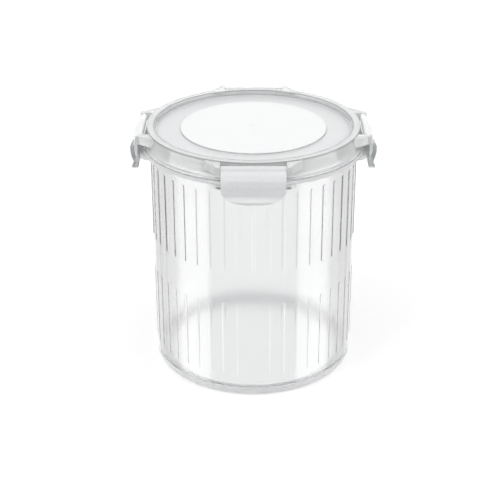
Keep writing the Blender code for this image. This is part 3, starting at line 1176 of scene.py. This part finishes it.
@dataclass
class Clip:
    """One clip: knuckle with trunnions, bowed panel, side walls, hook and tongue."""

    side: Side
    half_width: float = 15.3 * MM
    side_wall: float = 1.6 * MM
    panel: float = 1.8 * MM
    hinge_reach: float = 56.5 * MM
    hinge_height: float = 127.6 * MM
    knuckle: float = 1.7 * MM
    trunnion_radius: float = 1.11 * MM
    trunnion_length: float = 1.8 * MM
    hook_top: float = 117.3 * MM
    hook_reach: float = 56.8 * MM
    hook_height: float = 0.7 * MM
    hook_edge: float = 0.2 * MM
    wall_out: float = 1.4
    wall_top: Corner = (1.4, 3.6, 0.5)
    wall_edge: float = 0.1 * MM
    hollow_mouth: float = 4.0
    hollow_top: Point = (2.2, 2.6)
    hollow_bends: tuple[Corner, ...] = ((4.9, 7.1, 2.0), (4.75, 4.2, 1.0))
    hollow_foot: Point = (4.3, 0.3)
    hollow_edge: float = 0.5
    blank_top: float = 4.0 * MM
    blank_reach: float = 2.2 * MM
    blank_depth: float = 6.8 * MM
    round_tongue: Point = (15.3 * MM, 9.6 * MM)
    straight_tongue: Point = (1.5 * MM, 15.3 * MM)
    tongue_drop: float = 16.8 * MM
    tongue_steps: int = 24
    knuckle_steps: int = 20
    fillet_steps: int = 4
    edge: float = 0.22 * MM
    bends: tuple[Corner, ...] = (
        (3.7, 1.6, 1.6),
        (4.75, 4.2, 2.4),
        (4.9, 7.1, 3.5),
        (4.3, 10.2, 2.6),
        (3.3, 12.5, 0.9),
        (3.7, 13.7, 0.5),
        (4.6, 14.9, 0.7),
        (3.7, 16.8, 0.9),
        (2.0, 16.8, 0.6),
        (1.1, 15.5, 0.4),
    )

    def at(self, out: float, drop: float, radius: float = 0.0) -> Corner:
        """Corner at a place outside and below the hinge, given in millimetres."""
        return (self.hinge_reach + out * MM, self.hinge_height - drop * MM, radius * MM)

    def side_outline(self) -> list[Point]:
        """Outline of the clip, seen from its end.

        Returns:
            Reach and height of each point.
        """
        centre = (self.hinge_reach, self.hinge_height)
        start = FULL_TURN - QUARTER_TURN
        corners: list[Corner] = [
            (x, y, 0.0) for x, y in arc_points(centre, self.knuckle, start, 0, self.knuckle_steps)
        ]
        corners += [self.at(*bend) for bend in self.bends]
        corners += [
            (self.hook_reach, self.hook_top - self.hook_height, self.hook_edge),
            (self.hook_reach, self.hook_top, self.hook_edge),
            (self.hinge_reach + self.wall_out * MM, self.hook_top, self.wall_edge),
            self.at(*self.wall_top),
        ]
        return rounded(corners, self.fillet_steps, True)

    def front_outline(self) -> list[Point]:
        """Outline of the clip, seen from the front.

        Returns:
            Width and height of each point.
        """
        across_jar = self.side in (Side.RIGHT, Side.LEFT)
        width, drop = self.straight_tongue if across_jar else self.round_tongue
        start = self.hinge_height - drop
        depth = self.tongue_drop - drop
        flat = self.half_width - width
        right = [(self.half_width, self.hinge_height + self.blank_top)]
        for step in range(self.tongue_steps):
            angle = QUARTER_TURN * step / self.tongue_steps
            right.append((flat + width * math.cos(angle), start - depth * math.sin(angle)))
        return right + [(-width, height) for width, height in reversed(right)]

    def hollow_outline(self) -> list[Point]:
        """Outline of the hollow behind the panel.

        Returns:
            Reach and height of each point.
        """
        mouth = self.hinge_reach + (self.wall_out - self.hollow_mouth) * MM
        panel = self.panel / MM
        foot, foot_edge = self.hollow_foot
        corners: list[Corner] = [
            (mouth, self.hook_top, 0.0),
            (self.hinge_reach + (foot - panel) * MM, self.hook_top, foot_edge * MM),
        ]
        corners += [self.at(out - panel, drop, radius) for out, drop, radius in self.hollow_bends]
        corners += [
            self.at(*self.hollow_top, self.hollow_edge),
            (mouth, self.hinge_height - self.hollow_top[1] * MM, 0.0),
        ]
        return rounded(corners, self.fillet_steps, True)

    def build(self, material: bpy.types.Material) -> bpy.types.Object:
        """Make the clip.

        Args:
            material: Material of the clips.

        Returns:
            The clip's piece.
        """
        name = "clip_" + self.side.word
        outline = self.side_outline()
        piece = plate(name + "_shell", outline, self.half_width, along_width(), self.edge)
        turned = facing(self.hinge_reach + self.blank_reach)
        front = plate("front", self.front_outline(), self.blank_depth, turned)
        combine(piece, front, "INTERSECT")
        inner = self.half_width - self.side_wall
        hollow = plate("hollow", self.hollow_outline(), inner, along_width())
        combine(piece, hollow, "DIFFERENCE")
        hinge = Vector((0, -self.hinge_reach, self.hinge_height))
        half = self.half_width + self.trunnion_length
        combine(piece, rod("pins", hinge, self.trunnion_radius, half), "UNION")
        piece.data.transform(self.side.turn)
        return dress(piece, [material], name + "_body", name)


@dataclass(frozen=True)
class Studio:
    """Floor, world, lamps and camera of the photograph."""

    focal_pixels: float = 1264.0
    frame_pixels: float = 500.0
    sensor: float = 36.0
    distance: float = 0.602
    height: float = 0.354
    pitch: float = 26.17
    centre_shift: float = 3.52
    near_clip: float = 0.01
    floor_radius: float = 4.0
    floor_facets: int = 96
    soft_light: float = 0.76
    straight_width: float = 13.0
    straight_edge: float = 30.0
    side_level: float = 0.88
    upper_level: float = 0.95
    upper_rise: Point = (0.0, 0.2)
    gloss_low: float = 0.7
    gloss_high: float = 4.6
    gloss_upper: float = 2.0
    gloss_behind: float = 1.5
    band_edge: Point = (33.0, 41.0)
    behind_rise: Point = (0.03, 0.10)
    aim: Corner = (0.0, 0.0, 0.08)
    lamp_size: float = 0.7
    key_place: Corner = (-0.7, -0.5, 1.1)
    key_power: float = 4.1
    fill_place: Corner = (0.8, -0.3, 0.9)
    fill_power: float = 2.7

    def camera(self) -> None:
        """Make the camera at the photograph's place."""
        data = bpy.data.cameras.new("camera")
        data.sensor_width = self.sensor
        data.lens = self.focal_pixels * self.sensor / self.frame_pixels
        data.shift_x = -self.centre_shift / self.frame_pixels
        data.clip_start = self.near_clip
        camera = bpy.data.objects.new("camera", data)
        camera.location = (0.0, -self.distance, self.height)
        camera.rotation_euler = (QUARTER_TURN - math.radians(self.pitch), 0.0, 0.0)
        bpy.context.scene.collection.objects.link(camera)
        bpy.context.scene.camera = camera

    def floor(self, finish: PaleFloor) -> None:
        """Make the table top.

        Args:
            finish: Finish of the floor.
        """
        shape = bmesh.new()
        segments = self.floor_facets
        bmesh.ops.create_circle(shape, cap_ends=True, segments=segments, radius=self.floor_radius)
        floor = add_piece("floor", mesh_from("floor", shape))
        floor.data.materials.append(finish.material())
        floor.visible_glossy = False

    def world(self) -> None:
        """Make the soft white surroundings."""
        world = bpy.data.worlds.new("studio")
        world.use_nodes = True
        bpy.context.scene.world = world
        graph = Graph(world.node_tree)
        background = world.node_tree.nodes["Background"]
        rays = graph.node("ShaderNodeLightPath")
        seen = graph.value(rays, "Is Camera Ray")
        gloss = graph.value(rays, "Is Glossy Ray")
        through = graph.value(rays, "Is Transmission Ray")
        way = graph.node("ShaderNodeTexCoord")
        parts = graph.node("ShaderNodeSeparateXYZ", None, {0: graph.value(way, "Generated")})
        side = graph.math("ABSOLUTE", graph.value(parts, "X"))
        depth = graph.math("ABSOLUTE", graph.value(parts, "Y"))
        up = graph.value(parts, "Z")
        turn = graph.math("ARCTAN2", side, depth) * math.degrees(1.0)
        from_side = QUARTER_DEGREES - turn
        nearest = graph.math("MINIMUM", turn, from_side)
        beyond = graph.step(nearest, self.straight_width, self.straight_edge)
        upper = graph.step(up, *self.upper_rise)
        straight = 1.0 - beyond * (1.0 - self.side_level)
        straight = straight * (1.0 - upper * (1.0 - self.upper_level))
        band = 1.0 - graph.step(from_side, *self.band_edge)
        behind = graph.step(graph.value(parts, "Y"), *self.behind_rise)
        before = self.gloss_low + (self.gloss_high - self.gloss_low) * band
        mirrored = before * (1.0 - behind) + self.gloss_behind * behind
        mirrored = mirrored * (1.0 - upper) + upper * self.gloss_upper
        level_seen = gloss * (1.0 - through) * mirrored + through * straight
        other = (1.0 - seen) * (1.0 - graph.math("MAXIMUM", gloss, through))
        strength = seen + (1.0 - seen) * level_seen + other * self.soft_light
        graph.feed(background, {"Color": WHITE, "Strength": strength})

    def lamp(self, name: str, place: Corner, power: float) -> None:
        """Make one soft square lamp that faces the canister.

        Args:
            name: Name of the lamp.
            place: Where it stands.
            power: Its power in watts.
        """
        data = bpy.data.lights.new(name, "AREA")
        data.shape = "SQUARE"
        data.size = self.lamp_size
        data.energy = power
        lamp = bpy.data.objects.new(name, data)
        lamp.location = place
        way = Vector(self.aim) - Vector(place)
        lamp.rotation_euler = way.to_track_quat("-Z", "Y").to_euler()
        bpy.context.scene.collection.objects.link(lamp)

    def build(self) -> None:
        """Make the whole studio."""
        bpy.context.scene.view_settings.view_transform = "Standard"
        self.camera()
        self.floor(PaleFloor())
        self.world()
        self.lamp("key_lamp", self.key_place, self.key_power)
        self.lamp("fill_lamp", self.fill_place, self.fill_power)
        LOG.info("studio: camera, floor, world and lamps")


JAR_FINISHES = {
    JarZone.BODY: ClearPlastic("clear_jar"),
    JarZone.BASE: MilkyPlastic(
        name="satin_base",
        colour=(0.955, 0.96, 0.97),
        shaded_colour=(0.935, 0.94, 0.95),
        clear_share=0.40,
        roughness=0.60,
        grain_scale=1500.0,
    ),
    JarZone.CORNER: MilkyPlastic(
        name="satin_corner",
        colour=(0.95, 0.95, 0.97),
        shaded_colour=(0.93, 0.93, 0.95),
        clear_share=0.93,
        roughness=0.15,
        grain_scale=1500.0,
    ),
}
LID_FINISHES_AND_PAINTED_SHADE = {
    LidZone.RIM: MilkyPlastic(
        name="clear_lid",
        colour=(0.97, 0.975, 0.98),
        shaded_colour=(0.95, 0.955, 0.96),
        clear_share=0.62,
        roughness=0.16,
        grain_scale=300.0,
        roughness_change=0.02,
    ),
    LidZone.RING: MilkyPlastic(
        name="frosted_ring",
        colour=(0.80, 0.815, 0.82),
        shaded_colour=(0.78, 0.795, 0.80),
        clear_share=0.25,
        roughness=0.35,
        grain_height=0.002 * MM,
    ),
    LidZone.DISC: MilkyPlastic(
        name="frosted_disc",
        colour=(0.915, 0.92, 0.925),
        shaded_colour=(0.90, 0.905, 0.91),
        clear_share=0.20,
        roughness=0.35,
        grain_height=0.002 * MM,
    ),
    # Painted shade: the slope round the disc gets a dark grey colour that draws a dark line round it.
    LidZone.STEP: MilkyPlastic(
        name="panel_step_painted_shade",
        colour=(0.62, 0.63, 0.635),
        shaded_colour=(0.60, 0.61, 0.615),
        clear_share=0.20,
        roughness=0.30,
    ),
    # Painted shade: the rim's top edges get a dark grey colour that draws thin dark lines along them.
    LidZone.EDGE: MilkyPlastic(
        name="rim_edge_painted_shade",
        colour=(0.36, 0.37, 0.375),
        shaded_colour=(0.33, 0.34, 0.345),
        clear_share=0.20,
        roughness=0.20,
    ),
    LidZone.SKIRT: MilkyPlastic(
        name="clear_skirt",
        colour=(0.97, 0.975, 0.98),
        shaded_colour=(0.95, 0.955, 0.96),
        clear_share=0.70,
        roughness=0.10,
        grain_scale=60.0,
        grain_height=0.02 * MM,
        roughness_change=0.02,
    ),
}
GASKET_FINISH = MilkyPlastic(
    name="soft_gasket",
    colour=(0.97, 0.97, 0.965),
    shaded_colour=(0.94, 0.94, 0.94),
    clear_share=0.0,
    roughness=0.38,
    grain_scale=1800.0,
    grain_height=0.002 * MM,
    index=1.41,
)
CLIP_FINISH = MilkyPlastic(
    name="milky_clip",
    colour=(0.95, 0.965, 0.97),
    shaded_colour=(0.93, 0.945, 0.95),
    clear_share=0.35,
    roughness=0.24,
    grain_scale=2600.0,
)


def main() -> None:
    """Build the canister and its studio, and note their sizes."""
    logging.basicConfig(level=logging.INFO, format="%(name)s %(message)s")
    Jar().build(JAR_FINISHES)
    Lid().build(LID_FINISHES_AND_PAINTED_SHADE)
    Gasket().build(GASKET_FINISH)
    clip_material = CLIP_FINISH.material()
    for side in Side:
        Clip(side).build(clip_material)
    Studio().build()


if __name__ == "__main__":
    main()
